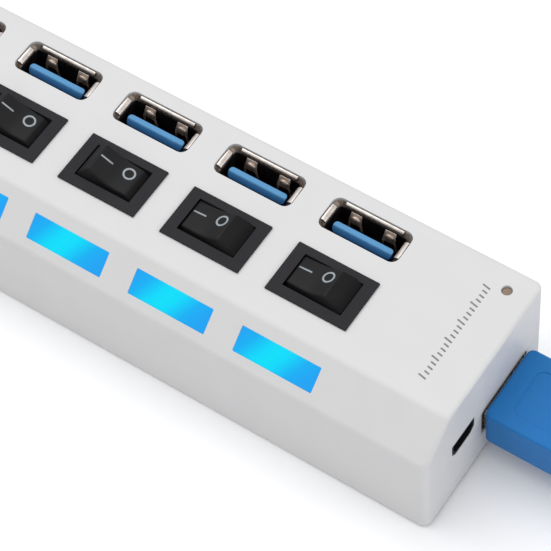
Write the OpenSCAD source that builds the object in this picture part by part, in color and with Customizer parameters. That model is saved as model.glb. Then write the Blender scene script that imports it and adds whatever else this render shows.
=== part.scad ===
// Seven-port USB hub with a rocker switch and a lit window for each port.
// Millimetres. X runs along the hub, Y towards the back, Z up.
// The origin is the bottom centre of the hub, without its cable.

/* [Body] */
// Length of the case
body_l = 170; // [168:1:176]
// Depth of the case, front to back
body_w = 35; // [34.5:0.5:38]
// Height of the case, without the feet
body_h = 25; // [24.5:0.5:27]
// Depth of the sloping front panel, seen from above
bevel_run = 7; // [6.5:0.1:7.2]
// Height that the sloping front panel drops
bevel_drop = 6; // [5.5:0.1:6.5]
// Wall thickness of the case
wall = 1.6; // [1.4:0.1:1.8]
// Radius of the case's upright corners
corner_r = 1.5; // [1:0.1:2.5]
// Height that the rubber feet stand out
foot_h = 0.5; // [0.4:0.1:1]

/* [Ports and switches] */
// Distance from one port to the next
pitch = 20.1; // [20:0.1:20.4]
// Distance from the cable end of the case to the first port
first_port = 29.1; // [28.8:0.1:30]
// Y position of the row of ports
port_y = 11.35; // [11.25:0.05:11.5]
// Y position of the row of switches
switch_y = -1; // [-1.2:0.1:-0.8]
// Tilt of a rocker to each side of level
rocker_tilt = 15; // [13:1:16]
// Ports, counted from the cable end, whose switch rests in the ON position
ports_on = 2; // [0:1:7]

/* [Cable] */
// Diameter of the cable
cord_d = 5.5; // [5:0.1:5.6]
// Length of the moulded grip of a plug
grip_l = 27; // [25:1:28]
// Length of the strain relief behind the grip
relief_l = 13; // [12:1:14]

/* [Hidden] */
$fn = 48;
tiny = 0.01;
port_count = 7;
ports = [1 : port_count];
function port_x(i) = body_l / 2 - first_port - pitch * (i - 1);

function numbered(name) = [for (i = ports) str(name, "_", i)];

// Case levels and edges
end_x = body_l / 2;
front_y = -body_w / 2;
back_y = body_w / 2;
case_z = foot_h;
top_z = case_z + body_h;
bevel_z = top_z - bevel_drop;
top_front_y = front_y + bevel_run;
plate_t = 1.6;
case_gap = 0.1;
tab_top_z = 12;
tab_y = 13;

// Printed circuit board
board_top_z = 11.5;
board_t = 1.6;
board_l = 163.5;
board_w = 30.4;
board_x = 0.75;
led_y = -12.4;

// Status light
status_x = end_x - 4.4;
status_y = back_y - 4.1;
status_d = 1.6;

// Screws and posts
case_post_x = 77.5;
case_post_y = 13.2;
right_post_x = 66.5;
post_d = 4.4;
case_screw_d = 2;
board_post_y = [5.6, -9.2];
board_post_x = [port_x(1) - pitch / 2, port_x(port_count) + pitch / 2];
board_screw_d = 1.7;

// Sockets of the size that every such plug fits
socket_w = 13.1;
socket_t = 5.7;
socket_wall = 0.3;
mouth_w = 14.4;
mouth_t = 6.2;
mouth_shift = 0.12;
mouth_drop = 0.5;
flare_h = 0.9;
mouth_z = top_z - mouth_drop;
tongue_w = 11;
tongue_t = 1.66;
tongue_y = -0.84;
tongue_cut = 0.78;
tongue_drop = 1.5;
contact_t = 0.15;

// Upstream socket and power inlet in the cable end
up_y = 5.7;
up_z = 9.5;
up_depth = 14;
inlet_y = -6.6;
inlet_w = 6.6;
inlet_h = 3.6;
inlet_depth = 7;
inlet_low = board_top_z + 0.1;
inlet_cut = 1;

// Rocker switches
bezel_l = 15;
bezel_w = 10;
bezel_h = 0.4;
switch_l = 13.5;
switch_w = 8.6;
switch_depth = 9.5;
pivot_drop = 3.25;
well_y = switch_y + 0.2;
well_w = 6.64;
rocker_y = switch_y + 0.62;
rocker_r = 6.1;
rocker_w = 5.56;
seat_l = 2.9;
seat_angle = 10;
end_angle = 20;
drum_gap = 0.18;
pin_d = 1.6;
pin_l = 0.45;
pin_gap = 0.05;
bezel_z = top_z + bezel_h;
pivot_z = bezel_z - pivot_drop;

// Lit windows in the sloping front panel
window_l = 14.5;
window_w = 4.3;
window_t = 2.2;
flange_t = 0.8;
window_place = 0.53;
bevel_angle = atan(bevel_drop / bevel_run);
window_mid = [
    front_y + bevel_run * (1 - window_place),
    bevel_z + bevel_drop * (1 - window_place)
];

// Plug on each end of the cable
grip_w = 14.4;
grip_t = 8;
plug_w = 12;
plug_t = 4.5;
plug_l = 11.8;
grip_gap = 0.5;
relief_w = 9;
cord_r = cord_d / 2;
exit_x = end_x + grip_gap + grip_l + relief_l;

// Hank of spare cable: two loops with round ends, one on the other, in line with the hub.
// The cable comes in at the bottom of the near fold and leaves over the top of it.
hank_x = 175;
hank_run = 59;
fold_r = 3 * cord_d;
hank_mid_y = up_y - fold_r;
hank_h = 2 * cord_d;
far_exit_x = hank_x + 7;
far_z = hank_h + grip_t / 2;
lead_route = [
    [exit_x, up_y, up_z],
    [131, up_y, 9.4],
    [137, up_y, 8.7],
    [143, up_y, 7.2],
    [149, up_y, 5.2],
    [155, up_y, 3.6],
    [161, up_y, 2.9],
    [167, up_y, cord_r],
    [hank_x, up_y, cord_r]
];
top_turn_z = cord_r + cord_d;
climb_end = 135;
function climb(turn) = (1 - cos(180 * min(turn / climb_end, 1))) / 2;
tail_route = [
    for (turn = [0 : 15 : 180])
        [hank_x - fold_r * sin(turn),
         hank_mid_y - fold_r * cos(turn),
         top_turn_z + (far_z - top_turn_z) * climb(turn)],
    [far_exit_x, up_y, far_z]
];

// Strap round the hank and the loose plug
tie_x = hank_x + 33;
strap_t = 0.6;
strap_w = 8;

// ---------- shared shapes ----------

// Rectangle with round corners, centred on the origin
module rounded_rect(l, w, r) {
    square([l - 2 * r, w], center = true);
    square([l, w - 2 * r], center = true);
    for (x = [-1, 1])
        for (y = [-1, 1])
            translate([x * (l / 2 - r), y * (w / 2 - r)])
                circle(r = r);
}

// A profile in Y and Z, extruded along X and centred on X = 0
module along_x(length) {
    rotate([90, 0, 90])
        linear_extrude(length, center = true)
            children();
}

// A profile in X and Z, extruded along Y and centred on Y = 0
module along_y(length) {
    rotate([90, 0, 0])
        linear_extrude(length, center = true)
            children();
}

// Case outline seen from the end, moved inwards by inset on every side but the bottom
module case_profile(inset, bottom) {
    slope = inset * tan((90 - bevel_angle) / 2);
    crest = inset * tan(bevel_angle / 2);
    polygon([
        [front_y + inset, bottom],
        [back_y - inset, bottom],
        [back_y - inset, top_z - inset],
        [top_front_y + crest, top_z - inset],
        [front_y + inset, bevel_z - slope]
    ]);
}

// Places its children at each of the four case posts
module at_case_posts() {
    for (y = [-1, 1]) {
        translate([-case_post_x, y * case_post_y, 0])
            children();
        translate([right_post_x, y * case_post_y, 0])
            children();
    }
}

// Places its children at each of the four board posts
module at_board_posts() {
    for (x = board_post_x)
        for (y = board_post_y)
            translate([x, y, 0])
                children();
}

// Places its children on the sloping panel in front of port i, with +Z out of the panel
module on_bevel(i) {
    translate([port_x(i), window_mid[0], window_mid[1]])
        rotate([bevel_angle, 0, 0])
            children();
}

// Tube swept along a route: an eight-sided ring at each point
function unit(v) = v / norm(v);
function heading(route, i) =
    unit(route[min(i + 1, len(route) - 1)] - route[max(i - 1, 0)]);
function ring(route, i, r, sides) =
    let (
        ahead = heading(route, i),
        side = unit(cross(ahead, [0, 0, 1])),
        up = cross(side, ahead)
    )
    [for (k = [0 : sides - 1])
        route[i] + r * (side * cos(k * 360 / sides) + up * sin(k * 360 / sides))];

module swept_tube(route, r, sides = 8) {
    last = len(route) - 1;
    points = [for (i = [0 : last]) each ring(route, i, r, sides)];
    skin = [for (i = [0 : last - 1], k = [0 : sides - 1])
        let (next = (k + 1) % sides)
        [i * sides + k, i * sides + next, (i + 1) * sides + next, (i + 1) * sides + k]];
    start_cap = [for (k = [sides - 1 : -1 : 0]) k];
    end_cap = [for (k = [0 : sides - 1]) last * sides + k];
    polyhedron(points, concat(skin, [start_cap], [end_cap]));
}

// ---------- case ----------

module top_cover() {
    color("white")
    difference() {
        intersection() {
            along_x(body_l)
                case_profile(0, case_z);
            translate([0, 0, case_z])
                linear_extrude(body_h)
                    rounded_rect(body_l, body_w, corner_r);
        }
        difference() {
            along_x(body_l - 2 * wall)
                case_profile(wall, case_z - tiny);
            at_case_posts()
                translate([0, 0, case_z + plate_t])
                    cylinder(d = post_d, h = top_z);
        }
        at_case_posts()
            translate([0, 0, case_z + plate_t - tiny])
                cylinder(d = case_screw_d - 0.2, h = 8);
        for (i = ports) {
            translate([port_x(i), port_y + mouth_shift, top_z - 2 * wall])
                linear_extrude(4 * wall)
                    rounded_rect(mouth_w + 0.4, mouth_t + 0.4 - 2 * mouth_shift, 1.2);
            translate([port_x(i), switch_y, top_z])
                cube([switch_l + 2 * case_gap, switch_w + 2 * case_gap, 4 * wall], center = true);
            on_bevel(i)
                cube([window_l + 2 * case_gap, window_w + 2 * case_gap, 4 * wall], center = true);
        }
        translate([status_x, status_y, top_z - 2 * wall])
            cylinder(d = status_d + 0.2, h = 4 * wall);
        upstream_hole();
        inlet_hole();
        for (side = [-1, 1])
            translate([side * end_x, 0, tab_top_z / 2])
                cube([4 * wall, 2 * (tab_y + case_gap), tab_top_z + 2 * case_gap], center = true);
    }
}

// Opening in the cable end for the upstream socket
module upstream_hole() {
    translate([end_x, up_y, up_z])
        cube([4 * wall, socket_w + 0.5, socket_t + 0.5], center = true);
}

// Outline of the power inlet with its two lower corners cut off, moved inwards by inset
module inlet_outline(inset) {
    side = inlet_w / 2 - inset;
    low = inlet_low + inset;
    high = inlet_low + inlet_h - inset;
    polygon([
        [inlet_y - side, high],
        [inlet_y - side, low + inlet_cut],
        [inlet_y - side + inlet_cut, low],
        [inlet_y + side - inlet_cut, low],
        [inlet_y + side, low + inlet_cut],
        [inlet_y + side, high]
    ]);
}

// Opening in the cable end for the power inlet
module inlet_hole() {
    translate([end_x, 0, 0])
        along_x(4 * wall)
            inlet_outline(0);
}

// Plate between the walls of the top cover, with a tab that closes each end below the sockets
module bottom_cover() {
    inset = wall + case_gap;
    color("whitesmoke")
    difference() {
        union() {
            translate([0, 0, case_z])
                linear_extrude(plate_t - case_gap) {
                    square([body_l - 2 * inset, body_w - 2 * inset], center = true);
                    square([body_l, 2 * tab_y], center = true);
                }
            for (side = [-1, 1])
                translate([side * (end_x - wall / 2), 0, (case_z + tab_top_z) / 2])
                    cube([wall, 2 * tab_y, tab_top_z - case_z], center = true);
            at_board_posts()
                translate([0, 0, case_z])
                    cylinder(d = post_d, h = board_top_z - board_t - case_z);
        }
        upstream_hole();
        inlet_hole();
        at_board_posts()
            translate([0, 0, case_z + plate_t])
                cylinder(d = board_screw_d - 0.2, h = board_top_z);
        at_case_posts() {
            translate([0, 0, -tiny])
                cylinder(d = case_screw_d + 0.3, h = 3 * plate_t);
            translate([0, 0, -tiny])
                cylinder(d = 4, h = case_z + 0.85);
        }
        at_feet()
            translate([0, 0, -tiny])
                cylinder(d = 7.2, h = case_z + 0.6 + tiny);
    }
}

module at_feet() {
    for (x = [-1, 1])
        for (y = [-1, 1])
            translate([x * 54, y * 12, 0])
                children();
}

module rubber_feet() {
    color("dimgray")
    at_feet()
        cylinder(d = 7, h = case_z + 0.6);
}

module case_screws() {
    color("silver")
    at_case_posts()
        difference() {
            union() {
                translate([0, 0, case_z + 0.1])
                    cylinder(d = 3.7, h = 0.7);
                translate([0, 0, case_z + 0.1])
                    cylinder(d = case_screw_d, h = 7);
            }
            for (turn = [0, 90])
                rotate(turn)
                    translate([0, 0, case_z])
                        cube([2.2, 0.5, 0.8], center = true);
        }
}

// ---------- board ----------

module circuit_board() {
    color("darkgreen")
    difference() {
        translate([board_x, 0, board_top_z - board_t])
            linear_extrude(board_t)
                difference() {
                    square([board_l, board_w], center = true);
                    translate([end_x - board_x - up_depth / 2 - 1, up_y])
                        square([up_depth + 3, socket_w + 0.6], center = true);
                }
        at_case_posts()
            cylinder(d = post_d + 0.6, h = top_z);
        at_board_posts()
            cylinder(d = board_screw_d + 0.3, h = top_z);
        for (i = ports)
            for (side = [-1, 1])
                translate([port_x(i) + side * 3.8, switch_y, board_top_z])
                    cube([1, 2.4, 4 * board_t], center = true);
    }
}

module board_screws() {
    color("silver")
    at_board_posts()
        difference() {
            union() {
                translate([0, 0, board_top_z])
                    cylinder(d = 3.2, h = 1.1);
                translate([0, 0, board_top_z - 6])
                    cylinder(d = board_screw_d, h = 6.5);
            }
            for (turn = [0, 90])
                rotate(turn)
                    translate([0, 0, board_top_z + 1.1])
                        cube([2, 0.45, 1], center = true);
        }
}

// Two controller chips under the board, each with its row of legs on all four sides
module hub_chips() {
    chip = 9;
    leg_pitch = 1;
    for (x = [port_x(2), port_x(5)])
        translate([x, switch_y + 8, board_top_z - board_t]) {
            color("black")
            translate([0, 0, -0.6])
                cube([chip, chip, 1], center = true);
            color("silver")
            for (turn = [0 : 90 : 270])
                rotate(turn)
                    for (k = [-3.5 : leg_pitch : 3.5])
                        translate([k, chip / 2 + 0.45, -0.25])
                            cube([0.4, 0.9, 0.5], center = true);
        }
}

// Crystal in its metal can and three capacitors, all under the board
module board_parts() {
    color("silver")
    translate([port_x(3), port_y - 4, board_top_z - board_t - 1.6])
        linear_extrude(1.6)
            rounded_rect(11, 4.4, 2.1);
    for (x = [port_x(4), port_x(6), port_x(7)])
        translate([x, port_y - 2, board_top_z - board_t - 5.4]) {
            color("dimgray")
            cylinder(d = 5, h = 5.4);
        }
}

// One light chip under each window
module indicator_leds() {
    color("ghostwhite")
    for (i = ports)
        translate([port_x(i), led_y, board_top_z + 0.6])
            cube([3.2, 1.6, 1.2], center = true);
}

// Status light: a chip on the board, and the light pipe from it to the small hole in the top
module status_led() {
    color("saddlebrown")
    translate([status_x, status_y, board_top_z]) {
        translate([0, 0, 0.4])
            cube([1.6, 1.2, 0.8], center = true);
        translate([0, 0, 0.8])
            cylinder(d = status_d, h = top_z - 0.5 - board_top_z - 0.8);
    }
}

module window(i) {
    color("deepskyblue")
    on_bevel(i) {
        translate([0, 0, -window_t / 2])
            cube([window_l, window_w, window_t], center = true);
        translate([0, 0, -wall - flange_t / 2 - 0.05])
            cube([window_l + 1.6, window_w + 1.2, flange_t], center = true);
    }
}

// ---------- sockets ----------

// Pressed metal shell of a socket, mouth up at Z = height, with flared lips and springs
module socket_shell(height) {
    lip_z = height - flare_h;
    linear_extrude(lip_z)
        difference() {
            rounded_rect(socket_w, socket_t, 0.8);
            rounded_rect(socket_w - 2 * socket_wall, socket_t - 2 * socket_wall, 0.5);
        }
    for (side = [0, 180])
        rotate(side)
            along_y(3.6)
                lip(socket_w / 2, mouth_w / 2, lip_z, height);
    rotate(90)
        along_y(10.6)
            lip(socket_t / 2, mouth_t / 2, lip_z, height);
    rotate(-90)
        along_y(10.6)
            lip(socket_t / 2, mouth_t / 2 - 2 * mouth_shift, lip_z, height);
    for (x = [-3.2, 3.2])
        translate([x, 0, 0])
            along_x(2.4)
                spring(socket_t / 2 - socket_wall, height);
}

// Section of one flared lip, from the wall at x = from out to x = to
module lip(from, to, low, high) {
    polygon([
        [from - socket_wall, low - tiny],
        [from, low - tiny],
        [to, high - 0.15],
        [to - 0.1, high],
        [from - socket_wall, low + 0.35]
    ]);
}

// Section of a contact spring that bows into the socket from the wall at y = at
module spring(at, height) {
    polygon([
        [at + tiny, height - 8],
        [at + tiny, height - 7.4],
        [at - 0.75, height - 3.4],
        [at - 0.45, height - 1.9],
        [at - 0.65, height - 1.9],
        [at - 1, height - 3.4],
        [at - 0.25, height - 7.6]
    ]);
}

// Plastic tongue and base of a socket, standing on Z = 0
module socket_tongue(height) {
    inner_w = socket_w - 2 * socket_wall - 0.2;
    inner_t = socket_t - 2 * socket_wall - 0.2;
    base_h = 2.5;
    linear_extrude(base_h)
        rounded_rect(inner_w, inner_t, 0.5);
    intersection() {
        along_x(tongue_w)
            polygon([
                [tongue_y - tongue_t / 2, base_h - tiny],
                [tongue_y + tongue_t / 2, base_h - tiny],
                [tongue_y + tongue_t / 2, height],
                [tongue_y - tongue_t / 2 + tongue_cut, height],
                [tongue_y - tongue_t / 2, height - 0.9]
            ]);
        translate([0, tongue_y, 0])
            linear_extrude(height + 1)
                rounded_rect(tongue_w, tongue_t, 0.6);
    }
}

// Four contacts on the open side of a tongue
module tongue_contacts(height) {
    for (x = [-3.5, -1, 1, 3.5])
        translate([x, tongue_y + tongue_t / 2 + contact_t / 2, (height + 2.5) / 2])
            cube([1, contact_t, height - 2.5 - 1.2], center = true);
}

module port_shell(i) {
    color("tan")
    translate([port_x(i), port_y, board_top_z])
        socket_shell(mouth_z - board_top_z);
}

module port_tongue(i) {
    color("dodgerblue")
    translate([port_x(i), port_y, board_top_z])
        socket_tongue(top_z - tongue_drop - board_top_z);
}

module port_contacts() {
    color("gold")
    for (i = ports)
        translate([port_x(i), port_y, board_top_z])
            tongue_contacts(top_z - tongue_drop - board_top_z);
}

// Turns a socket that opens upwards into the upstream one, which opens along +X
module facing_end() {
    translate([end_x - up_depth, up_y, up_z])
        rotate([90, 0, 90])
            children();
}

module upstream_shell() {
    color("tan")
    facing_end()
        linear_extrude(up_depth - 0.1)
            difference() {
                rounded_rect(socket_w, socket_t, 0.8);
                rounded_rect(socket_w - 2 * socket_wall, socket_t - 2 * socket_wall, 0.5);
            }
}

module upstream_tongue() {
    facing_end() {
        color("dodgerblue")
        socket_tongue(up_depth - 3);
        color("gold")
        tongue_contacts(up_depth - 3);
    }
}

// Small power socket on the board. Its nose fills the opening in the cable end, and a flat
// tongue stands in the middle of it.
module power_inlet() {
    body_h = inlet_h + 0.3;
    back_x = end_x - wall - case_gap - inlet_depth;
    nose_l = wall + case_gap - 0.15;
    color("black") {
        difference() {
            union() {
                translate([back_x + inlet_depth / 2, inlet_y, board_top_z + body_h / 2])
                    along_x(inlet_depth)
                        rounded_rect(inlet_w + 0.8, body_h, 0.6);
                translate([back_x + inlet_depth + nose_l / 2 - tiny, 0, 0])
                    along_x(nose_l)
                        inlet_outline(case_gap);
            }
            translate([back_x + 1 + inlet_depth, 0, 0])
                along_x(2 * inlet_depth)
                    inlet_outline(0.6);
        }
        translate([back_x + inlet_depth / 2, inlet_y, inlet_low + inlet_h / 2])
            cube([inlet_depth, 3.4, 0.8], center = true);
    }
}

// ---------- switches ----------

module switch_frame(i) {
    color("darkslategray")
    difference() {
        translate([port_x(i), switch_y, 0]) {
            translate([0, 0, top_z])
                linear_extrude(bezel_h)
                    square([bezel_l, bezel_w], center = true);
            translate([0, 0, bezel_z - switch_depth])
                linear_extrude(switch_depth - bezel_h + tiny)
                    square([switch_l, switch_w], center = true);
        }
        translate([port_x(i), well_y, 0]) {
            intersection() {
                translate([0, 0, pivot_z])
                    rotate([90, 0, 0])
                        cylinder(r = rocker_r + drum_gap, h = well_w, center = true);
                translate([0, 0, bezel_z - switch_depth + 0.8 + top_z / 2])
                    cube([bezel_l, bezel_w, top_z], center = true);
            }
            translate([0, 0, pivot_z])
                rotate([90, 0, 0])
                    cylinder(d = pin_d + 2 * pin_gap, h = well_w + 2 * pin_l + 0.2, center = true);
        }
    }
}

// Rocker in its rest position: ON tips the marked I side down, OFF the O side.
// The dished top runs out to the I end, and a bevel leads from it down to the O end.
module rocker(i) {
    rest_tilt = i <= ports_on ? -rocker_tilt : rocker_tilt;
    crest = pivot_drop / cos(rocker_tilt) + 0.1;
    seat_z = crest + seat_l * tan(seat_angle);
    reach = rocker_r + 1;
    reach_z = seat_z - (reach - seat_l) * tan(end_angle);
    color("black")
    translate([port_x(i), 0, pivot_z])
        rotate([0, rest_tilt, 0]) {
            translate([0, rocker_y, 0])
                intersection() {
                    rotate([90, 0, 0])
                        cylinder(r = rocker_r, h = rocker_w, center = true);
                    along_y(rocker_w + 1)
                        polygon([
                            [-reach, crest + reach * tan(seat_angle)],
                            [0, crest],
                            [seat_l, seat_z],
                            [reach, reach_z],
                            [reach, 0.4],
                            [1.4, -1],
                            [1, -3.6],
                            [-1, -3.6],
                            [-1.4, -1],
                            [-reach, 0.4]
                        ]);
                }
            translate([0, well_y, 0])
                rotate([90, 0, 0])
                    cylinder(d = pin_d, h = well_w + 2 * pin_l, center = true);
        }
}

// Fixed terminals of the switches, from the frames' floors down through the board
module switch_contacts() {
    floor_z = bezel_z - switch_depth;
    foot_z = board_top_z - board_t - 1;
    color("gold")
    for (i = ports)
        for (side = [-1, 1])
            translate([port_x(i) + side * 3.8, switch_y, (floor_z + foot_z) / 2])
                cube([0.6, 2, floor_z - foot_z], center = true);
}

// ---------- cable ----------

// Places its children on the plug in the hub: Z = 0 at the grip's face, +Z away from the hub
module at_near_plug() {
    translate([end_x + grip_gap, up_y, up_z])
        rotate([90, 0, 90])
            children();
}

// Places its children on the loose plug: Z = 0 at the grip's face, +Z towards the cable
module at_far_plug() {
    translate([far_exit_x + grip_l + relief_l, up_y, far_z])
        rotate([90, 0, -90])
            children();
}

// Metal shell of a plug, with two latch windows through its top and bottom
module plug_shell_shape() {
    difference() {
        translate([0, 0, -plug_l])
            linear_extrude(plug_l)
                difference() {
                    rounded_rect(plug_w, plug_t, 0.5);
                    rounded_rect(plug_w - 2 * socket_wall, plug_t - 2 * socket_wall, 0.3);
                }
        for (side = [-1, 1])
            translate([side * 2.8, 0, -0.55 * plug_l])
                cube([2.2, 2 * plug_t, 2.2], center = true);
    }
}

module plug_insert_shape() {
    insert_t = 1.4;
    translate([0, (plug_t - 0.8 - insert_t) / 2, -plug_l / 2])
        cube([plug_w - 0.8, insert_t, plug_l - 0.4], center = true);
}

// Moulded grip and its stepped strain relief
module plug_grip_shape() {
    steps = 4;
    translate([0, 0, grip_l / 2])
        along_y(grip_t)
            rounded_rect(grip_w, grip_l, 1.2);
    for (k = [0 : steps - 1])
        translate([0, 0, grip_l + k * relief_l / steps - tiny])
            linear_extrude(relief_l / steps + tiny)
                rounded_rect(relief_w - 0.6 * k, 7.4 - 0.4 * k, 2.6);
}

module plug_shell() {
    color("silver")
    at_near_plug()
        plug_shell_shape();
}

module far_plug_shell() {
    color("silver")
    at_far_plug()
        plug_shell_shape();
}

module plug_inserts() {
    color("dodgerblue") {
        at_near_plug()
            plug_insert_shape();
        at_far_plug()
            plug_insert_shape();
    }
}

module plug_grip() {
    color("royalblue")
    at_near_plug()
        plug_grip_shape();
}

module far_plug_grip() {
    color("royalblue")
    at_far_plug()
        plug_grip_shape();
}

module cord_lead() {
    color("royalblue")
    swept_tube(lead_route, cord_r);
}

module cord_tail() {
    color("royalblue")
    swept_tube(tail_route, cord_r);
}

// Outline of a loop of the hank seen from above, with folds of radius r
module loop_outline(r) {
    for (x = [0, hank_run])
        translate([x, 0])
            circle(r = r, $fn = 96);
    translate([0, -r])
        square([hank_run, 2 * r]);
}

// Outer shape of the two loops of the hank
module cord_hank() {
    color("royalblue")
    translate([hank_x, hank_mid_y, 0])
        linear_extrude(hank_h)
            difference() {
                loop_outline(fold_r + cord_r);
                loop_outline(fold_r - cord_r);
            }
}

// Outline of the strap seen from the end, moved outwards by t from what it holds
module strap_outline(t) {
    foot = cord_r + t;
    shoulder = grip_w / 2 + t;
    polygon([
        [-foot, strap_t - t],
        [foot, strap_t - t],
        [shoulder, hank_h],
        [shoulder, far_z + grip_t / 2 + t],
        [-shoulder, far_z + grip_t / 2 + t],
        [-shoulder, hank_h]
    ]);
}

module cord_tie() {
    color("black")
    translate([tie_x, up_y, 0])
        along_x(strap_w)
            difference() {
                strap_outline(strap_t);
                strap_outline(0);
            }
}

top_cover();
bottom_cover();
rubber_feet();
case_screws();
board_screws();
circuit_board();
hub_chips();
board_parts();
indicator_leds();
status_led();
port_contacts();
switch_contacts();
upstream_shell();
upstream_tongue();
power_inlet();
for (i = ports) {
    window(i);
    port_shell(i);
    port_tongue(i);
    switch_frame(i);
    rocker(i);
}
plug_shell();
plug_inserts();
plug_grip();
cord_lead();
cord_hank();
cord_tail();
cord_tie();
far_plug_shell();
far_plug_grip();
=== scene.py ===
"""Looks of a seven-port USB hub with a rocker switch and a lit window for each port.

The scene is in metres, in the CAD frame: X runs along the hub towards its cable, Y towards
the back, Z up. Sizes and the mesh helpers are in millimetres, as in the CAD source, and MM
scales them when a piece is made.
"""

import math

import bmesh
import bpy
from mathutils import Matrix, Vector


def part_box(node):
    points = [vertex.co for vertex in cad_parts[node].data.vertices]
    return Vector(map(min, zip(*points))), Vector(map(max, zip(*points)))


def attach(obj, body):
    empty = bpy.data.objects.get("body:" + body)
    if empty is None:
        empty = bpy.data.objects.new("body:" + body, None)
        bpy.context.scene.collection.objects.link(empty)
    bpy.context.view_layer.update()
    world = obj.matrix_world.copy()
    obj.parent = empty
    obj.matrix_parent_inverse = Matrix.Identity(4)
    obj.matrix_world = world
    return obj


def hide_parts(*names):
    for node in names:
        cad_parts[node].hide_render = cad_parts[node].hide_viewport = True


MM = 0.001
PORTS = range(1, 8)

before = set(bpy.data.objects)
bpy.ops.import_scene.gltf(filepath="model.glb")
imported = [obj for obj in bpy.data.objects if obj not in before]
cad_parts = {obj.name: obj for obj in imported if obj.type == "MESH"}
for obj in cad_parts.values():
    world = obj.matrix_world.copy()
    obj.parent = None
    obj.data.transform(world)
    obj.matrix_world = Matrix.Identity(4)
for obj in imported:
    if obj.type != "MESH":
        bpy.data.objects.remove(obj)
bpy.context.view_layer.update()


# ---------- places from the frame, in millimetres ----------


def box_mm(node):
    """Lowest and highest corner of a CAD node, in millimetres."""
    low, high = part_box(node)
    return low / MM, high / MM


def middle_mm(node):
    """Middle of a CAD node's box, in millimetres."""
    low, high = box_mm(node)
    return (low + high) / 2


case_low, case_high = box_mm("top_cover")
TOP_Z = case_high.z
END_X = case_high.x
FRONT_Y = case_low.y
PORT_AT = {i: middle_mm(f"port_shell_{i}") for i in PORTS}
SWITCH_AT = {i: middle_mm(f"switch_frame_{i}") for i in PORTS}
MOUTH_Z = box_mm("port_shell_1")[1].z
GRIP_LOW, GRIP_HIGH = box_mm("plug_grip")
UP_AT = middle_mm("plug_shell")
CORD_D = 5.5
CORD_R = CORD_D / 2


# ---------- camera ----------

# Solved from the edges of the case, the switches and the windows in the photo: places in
# metres, roll in degrees, lens in millimetres.
CAMERA_AT = (0.18331, -0.169, 0.36049)
CAMERA_AIM = (0.03831, 0.0095, 0)
CAMERA_ROLL = -6.33
CAMERA_LENS = 166.4


def aimed(at, aim):
    """Turn of a camera or light at one point in metres that looks at another."""
    return (Vector(aim) - Vector(at)).to_track_quat("-Z", "Y").to_matrix().to_4x4()


def add_camera():
    """Camera with a 36 mm sensor, rolled about its own axis."""
    data = bpy.data.cameras.new("camera")
    data.sensor_width = 36
    data.lens = CAMERA_LENS
    data.clip_start = 0.01
    camera = bpy.data.objects.new("camera", data)
    bpy.context.scene.collection.objects.link(camera)
    roll = Matrix.Rotation(math.radians(CAMERA_ROLL), 4, "Z")
    camera.matrix_world = Matrix.Translation(CAMERA_AT) @ aimed(CAMERA_AT, CAMERA_AIM) @ roll
    bpy.context.scene.camera = camera


# ---------- materials ----------


class Paint:
    """A material and short ways to add its nodes. Sizes are in millimetres."""

    def __init__(self, name, **sockets):
        self.material = bpy.data.materials.new(name)
        self.material.use_nodes = True
        self.nodes = self.material.node_tree.nodes
        self.links = self.material.node_tree.links
        self.shader = self.nodes["Principled BSDF"]
        for socket, value in sockets.items():
            self.shader.inputs[socket.replace("_", " ")].default_value = value
        self.place = self.nodes.new("ShaderNodeTexCoord").outputs["Object"]

    def link(self, source, socket):
        self.links.new(source, self.shader.inputs[socket])

    def add(self, kind, inputs=(), **settings):
        """A node with its settings, and inputs as (socket, value or output) pairs."""
        node = self.nodes.new("ShaderNode" + kind)
        for key, value in settings.items():
            setattr(node, key, value)
        for socket, value in inputs:
            if isinstance(value, bpy.types.NodeSocket):
                self.links.new(value, node.inputs[socket])
            else:
                node.inputs[socket].default_value = value
        return node

    def noise(self, size, detail=2, stretch=(1, 1, 1)):
        """Noise whose blobs are about size millimetres, longer where stretch is above 1."""
        scale = [1 / (size * MM * s) for s in stretch]
        mapped = self.add("Mapping", [("Vector", self.place), ("Scale", scale)])
        return self.add(
            "TexNoise",
            [("Vector", mapped.outputs[0]), ("Scale", 1), ("Detail", detail)],
        ).outputs["Fac"]

    def ramp(self, factor, *stops):
        """Colour by factor, with (position, colour or number) stops."""
        node = self.add("ValToRGB", [("Fac", factor)])
        elements = node.color_ramp.elements
        while len(elements) < len(stops):
            elements.new(0.5)
        for element, (position, colour) in zip(elements, stops):
            element.position = position
            if not hasattr(colour, "__len__"):
                colour = (colour,) * 3
            element.color = (*colour, 1)
        return node.outputs["Color"]

    def math(self, operation, a, b=0.0):
        return self.add("Math", [(0, a), (1, b)], operation=operation).outputs[0]

    def wobble(self, value, size, amount):
        """The value with noise of a size added to it, half of it downwards."""
        centred = self.math("SUBTRACT", self.noise(size), 0.5)
        return self.math("ADD", value, self.math("MULTIPLY", centred, amount))

    def bump(self, height, depth):
        """Bumps of about depth millimetres."""
        node = self.add(
            "Bump", [("Height", height), ("Distance", depth * MM), ("Strength", 1)]
        )
        self.link(node.outputs[0], "Normal")


def plastic(name, colour, vary=0.06, rough=(0.4, 0.5), grain=0.5, depth=0.01, **sockets):
    """Moulded plastic: cloudy colour, uneven gloss and a fine pebbled grain."""
    p = Paint(name, **sockets)
    cloud = p.noise(6, detail=4)
    dark, light = (tuple(c * share for c in colour) for share in (1 - vary, 1 + vary / 2))
    p.link(p.ramp(cloud, (0.3, dark), (0.7, light)), "Base Color")
    p.link(p.ramp(p.noise(3), (0.3, rough[0]), (0.7, rough[1])), "Roughness")
    p.bump(p.noise(grain, detail=3), depth)
    return p


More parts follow.
